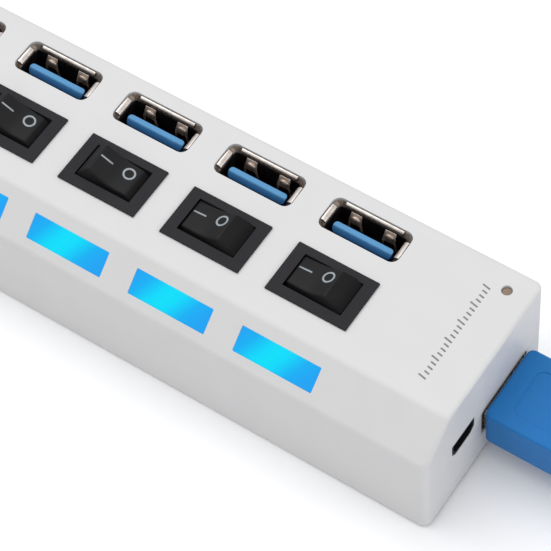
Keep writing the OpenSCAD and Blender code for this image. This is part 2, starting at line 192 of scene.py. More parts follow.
def metal(name, dark, light, rough=(0.2, 0.35), grain=1.2, stretch=(1, 1, 6), depth=0.006):
    """Plated sheet: drawn along Z, with stains between its dark and light colours."""
    p = Paint(name, Metallic=1.0)
    stain = p.noise(grain, detail=5)
    p.link(p.ramp(stain, (0.3, dark), (0.65, light)), "Base Color")
    drawn = p.noise(0.12, detail=2, stretch=stretch)
    p.link(p.ramp(drawn, (0.3, rough[0]), (0.7, rough[1])), "Roughness")
    p.bump(drawn, depth)
    return p


def lit_window(name):
    """Window lit from behind: a leaning cyan band in the middle, azure towards both ends."""
    lean, band_shift, half_length = 0.64, 0.9 * MM, 7.5 * MM
    p = Paint(name, Roughness=0.35, Specular_IOR_Level=0.15)
    split = p.add("SeparateXYZ", [("Vector", p.place)])
    skew = p.math("MULTIPLY", split.outputs["Y"], lean)
    along = p.math("ADD", p.math("SUBTRACT", split.outputs["X"], skew), band_shift)
    reach = p.math("ABSOLUTE", p.math("DIVIDE", along, half_length))
    glow = p.ramp(
        p.wobble(reach, 1.5, 0.08),
        (0.0, (0.0, 0.7, 0.9)),
        (0.22, (0.0, 0.66, 0.9)),
        (0.62, (0.006, 0.4, 0.85)),
        (1.0, (0.012, 0.33, 0.84)),
    )
    p.shader.inputs["Base Color"].default_value = (0.0, 0.03, 0.05, 1)
    p.link(glow, "Emission Color")
    p.shader.inputs["Emission Strength"].default_value = 1
    p.bump(p.noise(0.3), 0.002)
    return p


def shaded_tongue(name):
    """Blue plastic of the upright tongues with painted shade: lighter at the top, darker down
    in the socket.
    """
    deep_shade_z, unshaded_z = (TOP_Z - 3.2) * MM, (TOP_Z - 1.5) * MM
    p = Paint(name, Specular_IOR_Level=0.15)
    split = p.add("SeparateXYZ", [("Vector", p.place)])
    height = p.add("MapRange", [(0, split.outputs["Z"]), (1, deep_shade_z), (2, unshaded_z)])
    # Painted shade: the blue darkens from near the top of the case down into the socket.
    shade_tint = p.ramp(
        p.wobble(height.outputs[0], 0.8, 0.12),
        (0.0, (0.008, 0.03, 0.1)),
        (0.45, (0.015, 0.07, 0.19)),
        (0.85, (0.032, 0.13, 0.3)),
        (0.98, (0.09, 0.265, 0.475)),
    )
    p.link(shade_tint, "Base Color")
    p.link(p.ramp(p.noise(3), (0.3, 0.4), (0.7, 0.5)), "Roughness")
    p.bump(p.noise(0.3, detail=3), 0.004)
    return p


def solder_mask(name):
    """Green board with faint copper runs under the mask."""
    runs_per_metre = 600
    p = Paint(name, Roughness=0.3)
    cells = p.add("Mapping", [("Vector", p.place), ("Scale", (runs_per_metre,) * 3)])
    runs = p.add("TexVoronoi", [("Vector", cells.outputs[0])], distance="CHEBYCHEV")
    colour = p.ramp(
        runs.outputs["Distance"], (0.3, (0.01, 0.16, 0.06)), (0.34, (0.015, 0.24, 0.09))
    )
    p.link(colour, "Base Color")
    p.bump(runs.outputs["Distance"], 0.02)
    return p


def woven_strap(name):
    """Black woven strap with cross ribs."""
    p = Paint(name, Roughness=0.85)
    wave = [("Vector", p.place), ("Scale", 420), ("Distortion", 1.5)]
    ribs = [p.add("TexWave", wave, bands_direction=axis).outputs["Fac"] for axis in "XZ"]
    weave = p.math("MULTIPLY", *ribs)
    p.link(p.ramp(weave, (0.1, (0.012,) * 3), (0.8, (0.05,) * 3)), "Base Color")
    p.bump(weave, 0.12)
    return p


def floor_paint(name):
    """Plain white paper."""
    p = Paint(name, Roughness=0.9)
    p.link(p.ramp(p.noise(40), (0.4, 0.93), (0.6, 0.95)), "Base Color")
    p.bump(p.noise(0.8), 0.01)
    return p


BLUE = (0.016, 0.15, 0.41)
PAINTS = {
    "case": plastic("case", (0.575, 0.572, 0.568), vary=0.02, grain=0.7, depth=0.012),
    "feet": plastic("feet", (0.03, 0.03, 0.03), rough=(0.7, 0.85), grain=0.25),
    "screws": metal("screws", (0.45, 0.45, 0.46), (0.75, 0.75, 0.76), stretch=(1, 1, 1)),
    "board": solder_mask("board"),
    "chips": plastic("chips", (0.015, 0.015, 0.016), rough=(0.5, 0.6), grain=0.15),
    "metal_cans": metal("metal_cans", (0.5, 0.5, 0.5), (0.8, 0.8, 0.8)),
    "led": plastic("led", (0.8, 0.75, 0.5), rough=(0.15, 0.25)),
    "light_pipe": plastic("light_pipe", (0.2, 0.13, 0.09), rough=(0.2, 0.3)),
    "contacts": metal("contacts", (0.75, 0.5, 0.16), (0.95, 0.72, 0.32)),
    # Lighter copy of the socket metal, a painted highlight on the upward faces of the lips.
    "socket_metal": metal(
        "socket_metal", (0.5, 0.45, 0.41), (0.72, 0.67, 0.63), rough=(0.35, 0.5)
    ),
    # Darker, rougher copy of the socket metal: painted shade on the lips' other faces, and
    # plain darker metal on the rim and the upstream socket.
    "socket_dark_metal": metal(
        "socket_dark_metal", (0.13, 0.1, 0.08), (0.26, 0.215, 0.18), rough=(0.45, 0.6), grain=0.5
    ),
    # The shell's sheet made lighter and warmer on the springs: painted light that lifts the
    # shade they sit in.
    "spring": metal("spring", (0.45, 0.36, 0.29), (0.75, 0.64, 0.55), rough=(0.4, 0.55)),
    # Near-black metal on the socket walls: painted shade for the dark inside of the sockets.
    "socket_shade": metal(
        "socket_shade", (0.01, 0.01, 0.012), (0.035, 0.03, 0.03), rough=(0.5, 0.7)
    ),
    "tongue": plastic(
        "tongue",
        (0.06, 0.23, 0.48),
        rough=(0.4, 0.5),
        grain=0.3,
        depth=0.004,
        Specular_IOR_Level=0.15,
    ),
    # Blue with painted shade, darker down in the sockets.
    "port_tongue": shaded_tongue("port_tongue"),
    # Black plastic made near-black, so that it also paints the shade in the inlet's cavity.
    "inlet": plastic("inlet", (0.006,) * 3, rough=(0.5, 0.6), Specular_IOR_Level=0.1),
    "window": lit_window("window"),
    "switch_frame": plastic(
        "switch_frame",
        (0.0185, 0.018, 0.021),
        rough=(0.5, 0.6),
        grain=0.35,
        depth=0.02,
        Specular_IOR_Level=0.14,
    ),
    "rocker": plastic(
        "rocker",
        (0.011, 0.011, 0.0117),
        rough=(0.42, 0.5),
        grain=0.25,
        depth=0.006,
        Specular_IOR_Level=0.14,
    ),
    # Darker, rougher copy of the rocker plastic: painted shade on the bevel at the O end.
    "rocker_shaded_end": plastic(
        "rocker_shaded_end",
        (0.0075, 0.0075, 0.008),
        rough=(0.55, 0.65),
        grain=0.25,
        depth=0.006,
        Specular_IOR_Level=0.1,
    ),
    "marks": plastic("marks", (0.3, 0.33, 0.35), rough=(0.5, 0.6), grain=0.2),
    "print": plastic("print", (0.23, 0.225, 0.22), rough=(0.5, 0.6), grain=0.2),
    "plug_metal": metal(
        "plug_metal", (0.55, 0.55, 0.56), (0.66, 0.66, 0.67), grain=4, depth=0.0015
    ),
    "grip": plastic(
        "grip",
        BLUE,
        vary=0.05,
        rough=(0.38, 0.48),
        grain=0.6,
        depth=0.006,
        Specular_IOR_Level=0.12,
    ),
    "cord": plastic(
        "cord",
        BLUE,
        vary=0.08,
        rough=(0.4, 0.5),
        grain=0.8,
        depth=0.01,
        Specular_IOR_Level=0.12,
    ),
    "tie": woven_strap("tie"),
    "floor": floor_paint("floor"),
}


# ---------- mesh helpers, in millimetres ----------


def rounded_outline(length, width, radius, steps=6):
    """Corner points of a rectangle with round corners, anticlockwise."""
    points = []
    for corner, (sx, sy) in enumerate([(1, 1), (-1, 1), (-1, -1), (1, -1)]):
        cx, cy = sx * (length / 2 - radius), sy * (width / 2 - radius)
        for k in range(steps + 1):
            angle = math.pi / 2 * (corner + k / steps)
            points.append((cx + radius * math.cos(angle), cy + radius * math.sin(angle)))
    return points


def add_prism(bm, outline, low, high, place=Matrix.Identity(4)):
    """Closed prism of an outline between two heights, set in place."""
    rings = [
        [bm.verts.new(place @ Vector((x, y, z))) for x, y in outline]
        for z in (low, high)
    ]
    bm.faces.new(rings[0][::-1])
    bm.faces.new(rings[1])
    for k in range(len(outline)):
        n = (k + 1) % len(outline)
        bm.faces.new((rings[0][k], rings[0][n], rings[1][n], rings[1][k]))


def add_loft(bm, rings):
    """Closed skin through rings of equal length."""
    rows = [[bm.verts.new(p) for p in ring] for ring in rings]
    for a, b in zip(rows, rows[1:]):
        for k in range(len(a)):
            n = (k + 1) % len(a)
            bm.faces.new((a[k], a[n], b[n], b[k]))
    bm.faces.new(rows[0][::-1])
    bm.faces.new(rows[-1])


def add_ring(bm, outer, inner, low, high, place=Matrix.Identity(4)):
    """Closed prism between an outer and an inner outline of equal length, set in place."""
    section = ((outer, low), (outer, high), (inner, high), (inner, low))
    loops = [[place @ Vector((x, y, z)) for x, y in outline] for outline, z in section]
    add_loops(bm, *loops)


def add_loops(bm, *loops):
    """Closed band through loops of points of equal length, and back to the first loop."""
    loops = [[bm.verts.new(p) for p in loop] for loop in loops]
    for a, b in zip(loops, loops[1:] + loops[:1]):
        for k in range(len(a)):
            n = (k + 1) % len(a)
            bm.faces.new((a[k], a[n], b[n], b[k]))


def to_mesh(name, bm, *paints):
    """The mesh in metres, with its materials in order."""
    bmesh.ops.recalc_face_normals(bm, faces=bm.faces)
    bmesh.ops.scale(bm, vec=(MM, MM, MM), verts=bm.verts)
    mesh = bpy.data.meshes.new(name)
    bm.to_mesh(mesh)
    bm.free()
    for paint in paints:
        mesh.materials.append(PAINTS[paint].material)
    mesh.shade_smooth()
    return mesh


def place_piece(
    name, mesh, body, at=(0, 0, 0), turn=Matrix.Identity(3), stands_for=()
):
    """Puts a mesh at a point in millimetres, on a body, for the CAD nodes it stands for."""
    piece = bpy.data.objects.new(name, mesh)
    bpy.context.scene.collection.objects.link(piece)
    piece.matrix_world = Matrix.Translation(Vector(at) * MM) @ turn.to_4x4()
    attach(piece, body)
    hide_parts(*stands_for)
    return piece


def soften(piece, width, angle=35, segments=2):
    """Rounds a piece's edges that are sharper than angle degrees."""
    bevel = piece.modifiers.new("edges", "BEVEL")
    bevel.width = width * MM
    bevel.segments = segments
    bevel.limit_method = "ANGLE"
    bevel.angle_limit = math.radians(angle)
    bevel.use_clamp_overlap = True
    even_shading(piece)


def even_shading(piece):
    """Keeps flat faces flat beside their rounded edges."""
    normals = piece.modifiers.new("shading", "WEIGHTED_NORMAL")
    normals.keep_sharp = True


def carve(mesh, cutter_bm):
    """The mesh in metres less a cutter in millimetres."""
    bmesh.ops.recalc_face_normals(cutter_bm, faces=cutter_bm.faces)
    bmesh.ops.scale(cutter_bm, vec=(MM, MM, MM), verts=cutter_bm.verts)
    cutter_mesh = bpy.data.meshes.new("cutter")
    cutter_bm.to_mesh(cutter_mesh)
    cutter_bm.free()
    cutter = bpy.data.objects.new("cutter", cutter_mesh)
    body = bpy.data.objects.new("body", mesh)
    for o in (cutter, body):
        bpy.context.scene.collection.objects.link(o)
    cut = body.modifiers.new("cut", "BOOLEAN")
    cut.object = cutter
    cut.solver = "EXACT"
    cut.use_self = True
    graph = bpy.context.evaluated_depsgraph_get()
    carved = bpy.data.meshes.new_from_object(body.evaluated_get(graph))
    for o in (cutter, body):
        bpy.data.objects.remove(o)
    bm = bmesh.new()
    bm.from_mesh(carved)
    bmesh.ops.remove_doubles(bm, verts=bm.verts, dist=0.002 * MM)
    bmesh.ops.dissolve_limit(
        bm, angle_limit=math.radians(0.5), verts=bm.verts, edges=bm.edges
    )
    bm.to_mesh(carved)
    bm.free()
    carved.shade_smooth()
    return carved


# ---------- CAD nodes that keep their shape ----------


def dress(node, slot, edge=0.1):
    """Gives a CAD node its material, and rounds its edges by modifiers."""
    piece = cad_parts[node]
    piece.data.materials.clear()
    piece.data.materials.append(PAINTS[slot].material)
    for polygon in piece.data.polygons:
        polygon.material_index = 0
    weld = piece.modifiers.new("weld", "WELD")
    weld.merge_threshold = 0.001 * MM
    flat = piece.modifiers.new("flat", "DECIMATE")
    flat.decimate_type = "DISSOLVE"
    flat.angle_limit = math.radians(0.5)
    soften(piece, edge)


# ---------- case ----------

CORNER_R = 1.5
TOP_EDGE_R = 0.7
HOLE_EDGE_R = 0.1
INNER_CORNER_R = 0.4
WALL = 1.6
SOCKET = (13.1, 5.7)
MOUTH = (14.4, 6.2)
MOUTH_R = 1.2
MOUTH_SHIFT = 0.12
MOUTH_GAP = 0.2
PORT_Y = box_mm("port_shell_1")[1].y - MOUTH[1] / 2
SWITCH_HOLE = (13.7, 8.8)
LIGHT_HOLE_D = 1.8
UPSTREAM_HOLE = (13.6, 6.2)
BEVEL_RUN = 7
BEVEL_DROP = 6
BEVEL_TURN = Matrix.Rotation(math.atan2(BEVEL_DROP, BEVEL_RUN), 4, "X")
WINDOW = (14.5, 4.3)
WINDOW_SHARE = 0.47
WINDOW_AT = {
    i: Vector(
        (
            PORT_AT[i].x,
            FRONT_Y + BEVEL_RUN * WINDOW_SHARE,
            TOP_Z - BEVEL_DROP * (1 - WINDOW_SHARE),
        )
    )
    for i in PORTS
}
WINDOW_GAP = 0.05
PRINT_RISE = 0.015
TAB = (13.02, 12.02)  # half width and height of the bottom cover's end tabs
INLET_AT = middle_mm("power_inlet")
INLET_SILL = 11.6


def cut_front_panel(bm, inset):
    """Cuts the sloping front panel, inset millimetres inside the real one."""
    out = Vector((0, -BEVEL_DROP, BEVEL_RUN)).normalized()
    crease = Vector((0, FRONT_Y, TOP_Z - BEVEL_DROP))
    bmesh.ops.bisect_plane(
        bm,
        geom=[*bm.verts, *bm.edges, *bm.faces],
        plane_co=crease - out * inset,
        plane_no=out,
        clear_outer=True,
    )
    bmesh.ops.holes_fill(bm, edges=[e for e in bm.edges if e.is_boundary])


def round_edges(bm, radius, wanted, segments=4, angle=25):
    """Rounds the sharp edges whose two ends both pass the wanted test."""
    bmesh.ops.recalc_face_normals(bm, faces=bm.faces)
    edges = [
        e
        for e in bm.edges
        if len(e.link_faces) == 2
        and e.calc_face_angle() > math.radians(angle)
        and all(wanted(v.co) for v in e.verts)
    ]
    bmesh.ops.bevel(
        bm,
        geom=edges,
        offset=radius,
        segments=segments,
        profile=0.5,
        affect="EDGES",
        clamp_overlap=False,
    )


def along_x(at):
    """Places a prism so that its outline's X and Y become the world's Y and Z."""
    axes = Matrix(((0, 0, 1, 0), (1, 0, 0, 0), (0, 1, 0, 0), (0, 0, 0, 1)))
    return Matrix.Translation(at) @ axes


def case_openings():
    """Cutter for every opening in the top, the front panel and the two ends."""
    bm = bmesh.new()
    high, low = TOP_Z + WALL, TOP_Z - 2 * WALL
    for i in PORTS:
        mouth = Matrix.Translation((PORT_AT[i].x, PORT_Y, 0))
        add_prism(bm, mouth_outline(MOUTH_GAP), low, high, mouth)
        switch = Matrix.Translation((SWITCH_AT[i].x, SWITCH_AT[i].y, 0))
        add_prism(bm, rounded_outline(*SWITCH_HOLE, 0.2, 2), low, high, switch)
        panel = Matrix.Translation(WINDOW_AT[i]) @ BEVEL_TURN
        window = rounded_outline(*(side + 2 * WINDOW_GAP for side in WINDOW), 0.15, 2)
        add_prism(bm, window, -2 * WALL, WALL, panel)
    light = middle_mm("status_led")
    pipe = rounded_outline(LIGHT_HOLE_D, LIGHT_HOLE_D, LIGHT_HOLE_D / 2)
    add_prism(bm, pipe, low, high, Matrix.Translation((light.x, light.y, 0)))
    inlet = along_x((END_X, INLET_AT.y, INLET_SILL))
    add_prism(bm, inlet_outline(0), -2 * WALL, WALL, inlet)
    upstream = rounded_outline(*UPSTREAM_HOLE, 0.3, 2)
    add_prism(bm, upstream, -2 * WALL, WALL, along_x((END_X, UP_AT.y, UP_AT.z)))
    tab = rounded_outline(2 * TAB[0], 2 * TAB[1], 0.1, 2)
    for end in (case_low.x, END_X):
        add_prism(bm, tab, -2 * WALL, 2 * WALL, along_x((end, 0, 0)))
    return bm


def case_cover():
    """White shell: a rounded bar with a sloping front panel, hollowed, with its openings."""
    sharp_angle = 50
    length, width = case_high.x - case_low.x, case_high.y - case_low.y
    bm = bmesh.new()
    add_prism(bm, rounded_outline(length, width, CORNER_R, 8), case_low.z, TOP_Z)
    cut_front_panel(bm, 0)
    round_edges(bm, TOP_EDGE_R, lambda p: p.z > case_low.z + 1)
    cover = to_mesh("case_cover", bm, "case")

    room = bmesh.new()
    inside = rounded_outline(length - 2 * WALL, width - 2 * WALL, INNER_CORNER_R, 2)
    add_prism(room, inside, case_low.z - 1, TOP_Z - WALL)
    cut_front_panel(room, WALL)
    cover = carve(carve(cover, room), case_openings())

    bm = bmesh.new()
    bm.from_mesh(cover)
    above_tabs = (TAB[1] + 1) * MM
    round_edges(
        bm, HOLE_EDGE_R * MM, lambda p: p.z > above_tabs, segments=2, angle=sharp_angle
    )
    bm.to_mesh(cover)
    bm.free()
    cover.shade_smooth()
    cover.set_sharp_from_angle(angle=math.radians(sharp_angle))
    piece = place_piece("case_cover", cover, "hub", stands_for=["top_cover"])
    even_shading(piece)


def mouth_outline(gap, steps=6):
    """Mouth of a socket, its front side set back a little, with a gap all round."""
    size = (MOUTH[0] + 2 * gap, MOUTH[1] + 2 * (gap - MOUTH_SHIFT))
    return [(x, y + MOUTH_SHIFT) for x, y in rounded_outline(*size, MOUTH_R + gap, steps)]


def inlet_outline(inset):
    """The power inlet seen from the end, from the middle of its sill, lower corners cut."""
    side, high, cut = 3.3 - inset, 3.6 - inset, 1
    return [
        (side, high),
        (-side, high),
        (-side, inset + cut),
        (cut - side, inset),
        (side - cut, inset),
        (side, inset + cut),
    ]


def power_inlet():
    """Near-black nose that fills the opening in the end, with a flat tongue in its cavity;
    its colour also paints the shade inside the inlet.
    """
    gap, cavity_inset, floor_t = 0.08, 0.55, 0.5
    tongue, tongue_up, tongue_back = (3.4, 0.8), 1.9, 1.2
    bm = bmesh.new()
    low, high = box_mm("power_inlet")
    depth = high.x - low.x
    nose = along_x((END_X, INLET_AT.y, INLET_SILL))
    outer, inner = inlet_outline(gap), inlet_outline(cavity_inset)
    add_ring(bm, outer, inner, -depth, -0.03, nose)
    add_prism(bm, outer, -depth - floor_t, 0.05 - depth, nose)
    raised = nose @ Matrix.Translation((0, tongue_up, 0))
    add_prism(bm, rounded_outline(*tongue, 0.2, 3), -depth, -tongue_back, raised)
    mesh = to_mesh("power_inlet", bm, "inlet")
    piece = place_piece("inlet_body", mesh, "hub", stands_for=["power_inlet"])
    soften(piece, 0.06)


def window_lenses():
    """The seven lit windows, a hair below the face of the front panel."""
    lens_t, sunk = 2.2, 0.02
    bm = bmesh.new()
    add_prism(bm, rounded_outline(*WINDOW, 0.1, 2), -lens_t, -sunk)
    mesh = to_mesh("window_lens", bm, "window")
    for i in PORTS:
        piece = place_piece(
            f"window_lens_{i}",
            mesh,
            "hub",
            at=WINDOW_AT[i],
            turn=BEVEL_TURN.to_3x3(),
            stands_for=[f"window_{i}"],
        )
        soften(piece, 0.06)


def printed_ticks():
    """A row of plain slanted ticks printed on the top, every fourth of them longer."""
    x, first, pitch, count = 77.6, -6.5, 0.94, 21
    long, short, thick = 1.5, 1.0, 0.3
    lean = Matrix.Rotation(math.radians(-12), 4, "Z")
    bm = bmesh.new()
    for k in range(count):
        height = long if k % 4 == 0 else short
        spot = Matrix.Translation((x + (long - height) / 2, first + k * pitch, TOP_Z))
        tick = rounded_outline(height, thick, 0.1, 2)
        add_prism(bm, tick, -0.05, PRINT_RISE, spot @ lean)
    mesh = to_mesh("printed_ticks", bm, "print")
    place_piece("printed_ticks", mesh, "hub")


# ---------- sockets ----------

SHEET = 0.3
SOCKET_R = 0.8
RIM_GAPS = (0.15, 0.05)  # outer and inner edge of the rim, outside the mouth's outline
RIM_RISE = 0.03
FLARE_DEPTH = 1.4
FLARE_DEPTH_INSIDE = 0.95
LIP_H = 0.75
LIP_RAISE = 0.25
FRONT_DIP = 0.8
DIP_INSET = 0.4
HIGHLIGHT_Z = 0.55  # faces of a lip whose normal points further up than this take its painted highlight
LIP_SIDES = [(1, 3.4, 0), (0, 10.8, 90), (1, 3.4, 180)]  # on a short side, length, turn
SPRING_X = 3.2
# Heights of a spring's cross-sections below the mouth, how far each bows out from the wall,
# and half its width (for the legs: half the distance between them).
SPRING_PLATE = [(-0.85, -0.05, 1.0), (-1.4, 0.3, 1.05), (-2.2, 0.6, 1.18), (-2.9, 0.7, 1.25)]
SPRING_LEGS = [(-2.7, 0.7, 1.05), (-4.4, 0.65, 1.25), (-6.2, 0.4, 1.5), (-7.6, 0.1, 1.7)]
SPRING_HALF_T = 0.1
LEG_HALF_W = 0.2
DOME_AT = (0, -0.5, -2.0)
DOME_R = (0.95, 0.4, 0.85)


def lip_profile(reach, height, steps=6):
    """Section of a flared lip in offset and height, from its foot to its edge and back."""
    outer, inner = [], []
    for k in range(steps + 1):
        t = math.pi / 2 * k / steps
        offset = (reach + SHEET / 2) * (1 - math.cos(t))
        rise = (height - SHEET / 2) * math.sin(t)
        out = Vector((math.cos(t), -math.sin(t))) * SHEET / 2
        centre = Vector((offset - SHEET / 2, rise))
        outer.append(centre + out)
        inner.append(centre - out)
    return [tuple(p) for p in outer + inner[::-1]]


def add_spring(bm, x, wall_y):
    """Sprung contact cut from the back wall: a domed plate at the top, on two legs."""
    plate = [(x, wall_y - bow, z, half) for z, bow, half in SPRING_PLATE]
    add_loft(bm, [strip(*section) for section in plate])
    for side in (-1, 1):
        leg = [(x + side * out, wall_y - bow, z, LEG_HALF_W) for z, bow, out in SPRING_LEGS]
        add_loft(bm, [strip(*section) for section in leg])
    spot = Matrix.Translation(Vector((x, wall_y, 0)) + Vector(DOME_AT))
    dome = spot @ Matrix.Diagonal((*DOME_R, 1))
    bmesh.ops.create_icosphere(bm, subdivisions=3, radius=1, matrix=dome)


def strip(x, y, z, half):
    """Four corners of a strip of sheet about x and y, cut across at height z."""
    back, front = y + SPRING_HALF_T, y - SPRING_HALF_T
    left, right = x - half, x + half
    return [(right, back, z), (left, back, z), (left, front, z), (right, front, z)]


def rim_loop(outline, z):
    """An outline at height z that dips along the front, before the tongue."""
    loop = [(x, y, z) for x, y in outline]
    right_start = 3 * len(loop) // 4
    (left, front, _), (right, _, _) = loop[right_start - 1], loop[right_start]
    low = z - FRONT_DIP
    dip = [(left + DIP_INSET, front, low), (right - DIP_INSET, front, low)]
    return loop[:right_start] + dip + loop[right_start:]


def socket_mesh(depth):
    """Pressed steel socket, mouth up at Z = 0: a flared rim and three lips on it, in painted
    light and shade.
    """
    highlight_slot, dark_slot, inside, spring = range(4)
    bm = bmesh.new()
    walls = rounded_outline(*SOCKET, SOCKET_R, 5)
    inner = rounded_outline(*(side - 2 * SHEET for side in SOCKET), SOCKET_R - SHEET, 5)
    rim, rim_inner = (mouth_outline(gap, 5) for gap in RIM_GAPS)
    # The walls, in near-black painted shade.
    add_ring(bm, walls, inner, -depth, 0.02 - LIP_H)
    inside_end = len(bm.faces)
    outside = [rim_loop(walls, -FLARE_DEPTH), rim_loop(rim, 0)]
    add_loops(
        bm, *outside, rim_loop(rim_inner, RIM_RISE), rim_loop(inner, -FLARE_DEPTH_INSIDE)
    )
    rim_end = len(bm.faces)
    upright = Matrix.Rotation(math.pi / 2, 4, "X")
    for short, length, angle in LIP_SIDES:
        axis = 0 if short else 1
        reach = (MOUTH[axis] - SOCKET[axis]) / 2 + 0.05
        foot = Matrix.Translation((SOCKET[axis] / 2, 0, LIP_RAISE - LIP_H))
        stand = Matrix.Rotation(math.radians(angle), 4, "Z") @ foot @ upright
        add_prism(bm, lip_profile(reach, LIP_H), -length / 2, length / 2, stand)
    lips_end = len(bm.faces)
    for x in (-SPRING_X, SPRING_X):
        add_spring(bm, x, SOCKET[1] / 2 - SHEET)
    bmesh.ops.recalc_face_normals(bm, faces=bm.faces)
    # By face: the walls take near-black painted shade, the lips' upward faces a painted
    # highlight, their other faces painted shade in the darker metal, the rim that darker
    # metal too, the springs their lighter metal.
    for k, face in enumerate(bm.faces):
        if k < inside_end:
            face.material_index = inside
        elif rim_end <= k < lips_end and face.normal.z > HIGHLIGHT_Z:
            face.material_index = highlight_slot
        else:
            face.material_index = dark_slot if k < lips_end else spring
    return to_mesh("socket", bm, "socket_metal", "socket_dark_metal", "socket_shade", "spring")


def sockets():
    """The seven sockets along the top: one mesh, placed seven times."""
    low, high = box_mm("port_shell_1")
    mesh = socket_mesh(high.z - low.z)
    for i in PORTS:
        piece = place_piece(
            f"socket_{i}",
            mesh,
            "hub",
            at=(PORT_AT[i].x, PORT_Y, MOUTH_Z),
            stands_for=[f"port_shell_{i}"],
        )
        soften(piece, 0.05, angle=40)


# ---------- rockers ----------

ROCKER_TILT = 15
SEAT_ANGLE = 11
PIVOT_DROP = 3.25
ROCKER_R = 6.1
ROCKER_W = 5.56
ROCKER_SHIFT = 0.42
ROCKER_EDGE_R = 0.32
ROCKER_FOOT = [(-1.4, -1), (-1, -3.6), (1, -3.6), (1.4, -1)]
SEAT_L = 2.9
END_ANGLE = 20
DRAFT = 0.3  # lean of the front side, between two heights above the pin
DRAFT_TOP = 4.1
DRAFT_FOOT = 1.3
CREST = PIVOT_DROP / math.cos(math.radians(ROCKER_TILT)) + 0.1
SADDLE = 0.25
BAR = (2.4, 0.28)
BAR_AT = (-2.9, 0.98)
RING_D = 2.2
RING_HOLE_D = 1.55
RING_AT = (1.35, 1.2)
MARK_Z = (-0.05, 0.03)
SHADED_END_X = 0.25  # faces whose normal leans further than this to the O end are its bevel, in painted shade
PORTS_ON = 2  # the two ports next to the cable are on in the photo


def seat_height(x):
    """Height of a rocker's dished top above its pin, at x from its middle."""
    rise = x * math.tan(math.radians(SEAT_ANGLE))
    return CREST - SADDLE / 2 + math.hypot(rise, SADDLE)


def bevel_height(x):
    """Height of the bevel that runs down from the top to the O end."""
    return seat_height(SEAT_L) - (x - SEAT_L) * math.tan(math.radians(END_ANGLE))


def round_end(height, x):
    """A rocker's round end, going up to where it meets a surface of the given height."""
    while math.hypot(x, height(x)) < ROCKER_R:
        x += 0.01
    low, corner, steps = math.radians(4), math.atan2(height(x), x), 6
    angles = [low + (corner - low) * k / steps for k in range(steps + 1)]
    return [(ROCKER_R * math.cos(a), ROCKER_R * math.sin(a)) for a in angles]


def rocker_outline():
    """Side view of a rocker, anticlockwise: O end, bevel, dished top, I end, underside."""
    o_end = round_end(bevel_height, SEAT_L)
    i_end = [(-x, z) for x, z in round_end(seat_height, 0)[::-1]]
    steps = 14
    run = SEAT_L - i_end[0][0]
    top = [SEAT_L - run * k / steps for k in range(steps)]
    return o_end + [(x, seat_height(x)) for x in top] + i_end + ROCKER_FOOT


def rocker_mesh():
    """A rocker about its pin, edges rounded, with a front side that leans out downwards."""
    upright = Matrix.Rotation(math.pi / 2, 4, "X")
    bm = bmesh.new()
    shift = Matrix.Translation((0, ROCKER_SHIFT, 0))
    add_prism(bm, rocker_outline(), -ROCKER_W / 2, ROCKER_W / 2, shift @ upright)
    bmesh.ops.bisect_plane(
        bm,
        geom=[*bm.verts, *bm.edges, *bm.faces],
        plane_co=(0, 0, DRAFT_FOOT),
        plane_no=(0, 0, 1),
    )
    for vert in bm.verts:
        if vert.co.y < 0:
            vert.co.y -= DRAFT * max(DRAFT_TOP - max(vert.co.z, DRAFT_FOOT), 0)
    round_edges(bm, ROCKER_EDGE_R, lambda p: p.z > 0.3)
    # Faces turned towards the O end take the darker copy: painted shade.
    for face in bm.faces:
        face.material_index = 1 if face.normal.x > SHADED_END_X else 0
    return to_mesh("rocker", bm, "rocker", "rocker_shaded_end")


def marks_mesh():
    """The I and the O, moulded a little proud of the rocker's dished top."""
    bm = bmesh.new()
    bar = Matrix.Translation((*BAR_AT, 0))
    add_prism(bm, rounded_outline(*BAR, 0.1, 3), *MARK_Z, bar)
    ring = Matrix.Translation((*RING_AT, 0))
    outer, inner = (rounded_outline(d, d, d / 2, 8) for d in (RING_D, RING_HOLE_D))
    add_ring(bm, outer, inner, *MARK_Z, ring)
    for vert in bm.verts:
        vert.co.z += seat_height(vert.co.x)
    return to_mesh("switch_marks", bm, "marks")


def rockers():
    """The seven rockers and their marks, each on its own body and tilted to its rest."""
    body, marks = rocker_mesh(), marks_mesh()
    bezel_z = box_mm("switch_frame_1")[1].z
    for i in PORTS:
        rest = -ROCKER_TILT if i <= PORTS_ON else ROCKER_TILT
        turn = Matrix.Rotation(math.radians(rest), 3, "Y")
        at = (SWITCH_AT[i].x, middle_mm(f"rocker_{i}").y, bezel_z - PIVOT_DROP)
        name = f"rocker_{i}"
        place_piece(f"rocker_body_{i}", body, name, at, turn, [name])
        place_piece(f"switch_marks_{i}", marks, name, at, turn)


# ---------- cable ----------

GRIP = (27, 14.4, 8)
GRIP_R = 1.2
GRIP_EDGE_R = 0.45
PANEL = (19.1, 9.2)
PANEL_R = 1.5
PANEL_X = 12.95
PANEL_DEPTH = 0.22
RELIEF_L = 13
RELIEF_START = (4.5, 3.7)  # half width and half thickness where the relief leaves the grip
RELIEF_END = (3.4, 3.1)
RELIEF_STEPS = 52
STEPS_PER_RIB = 4
GROOVE = 0.88
HANK_X = 175
HANK_RUN = 59
FOLD_R = 3 * CORD_D
CLIMB_END = 135
FAR_EXIT_X = HANK_X + 7
FAR_Z = 2 * CORD_D + GRIP[2] / 2
EXIT = Vector((GRIP_HIGH.x, UP_AT.y, UP_AT.z))


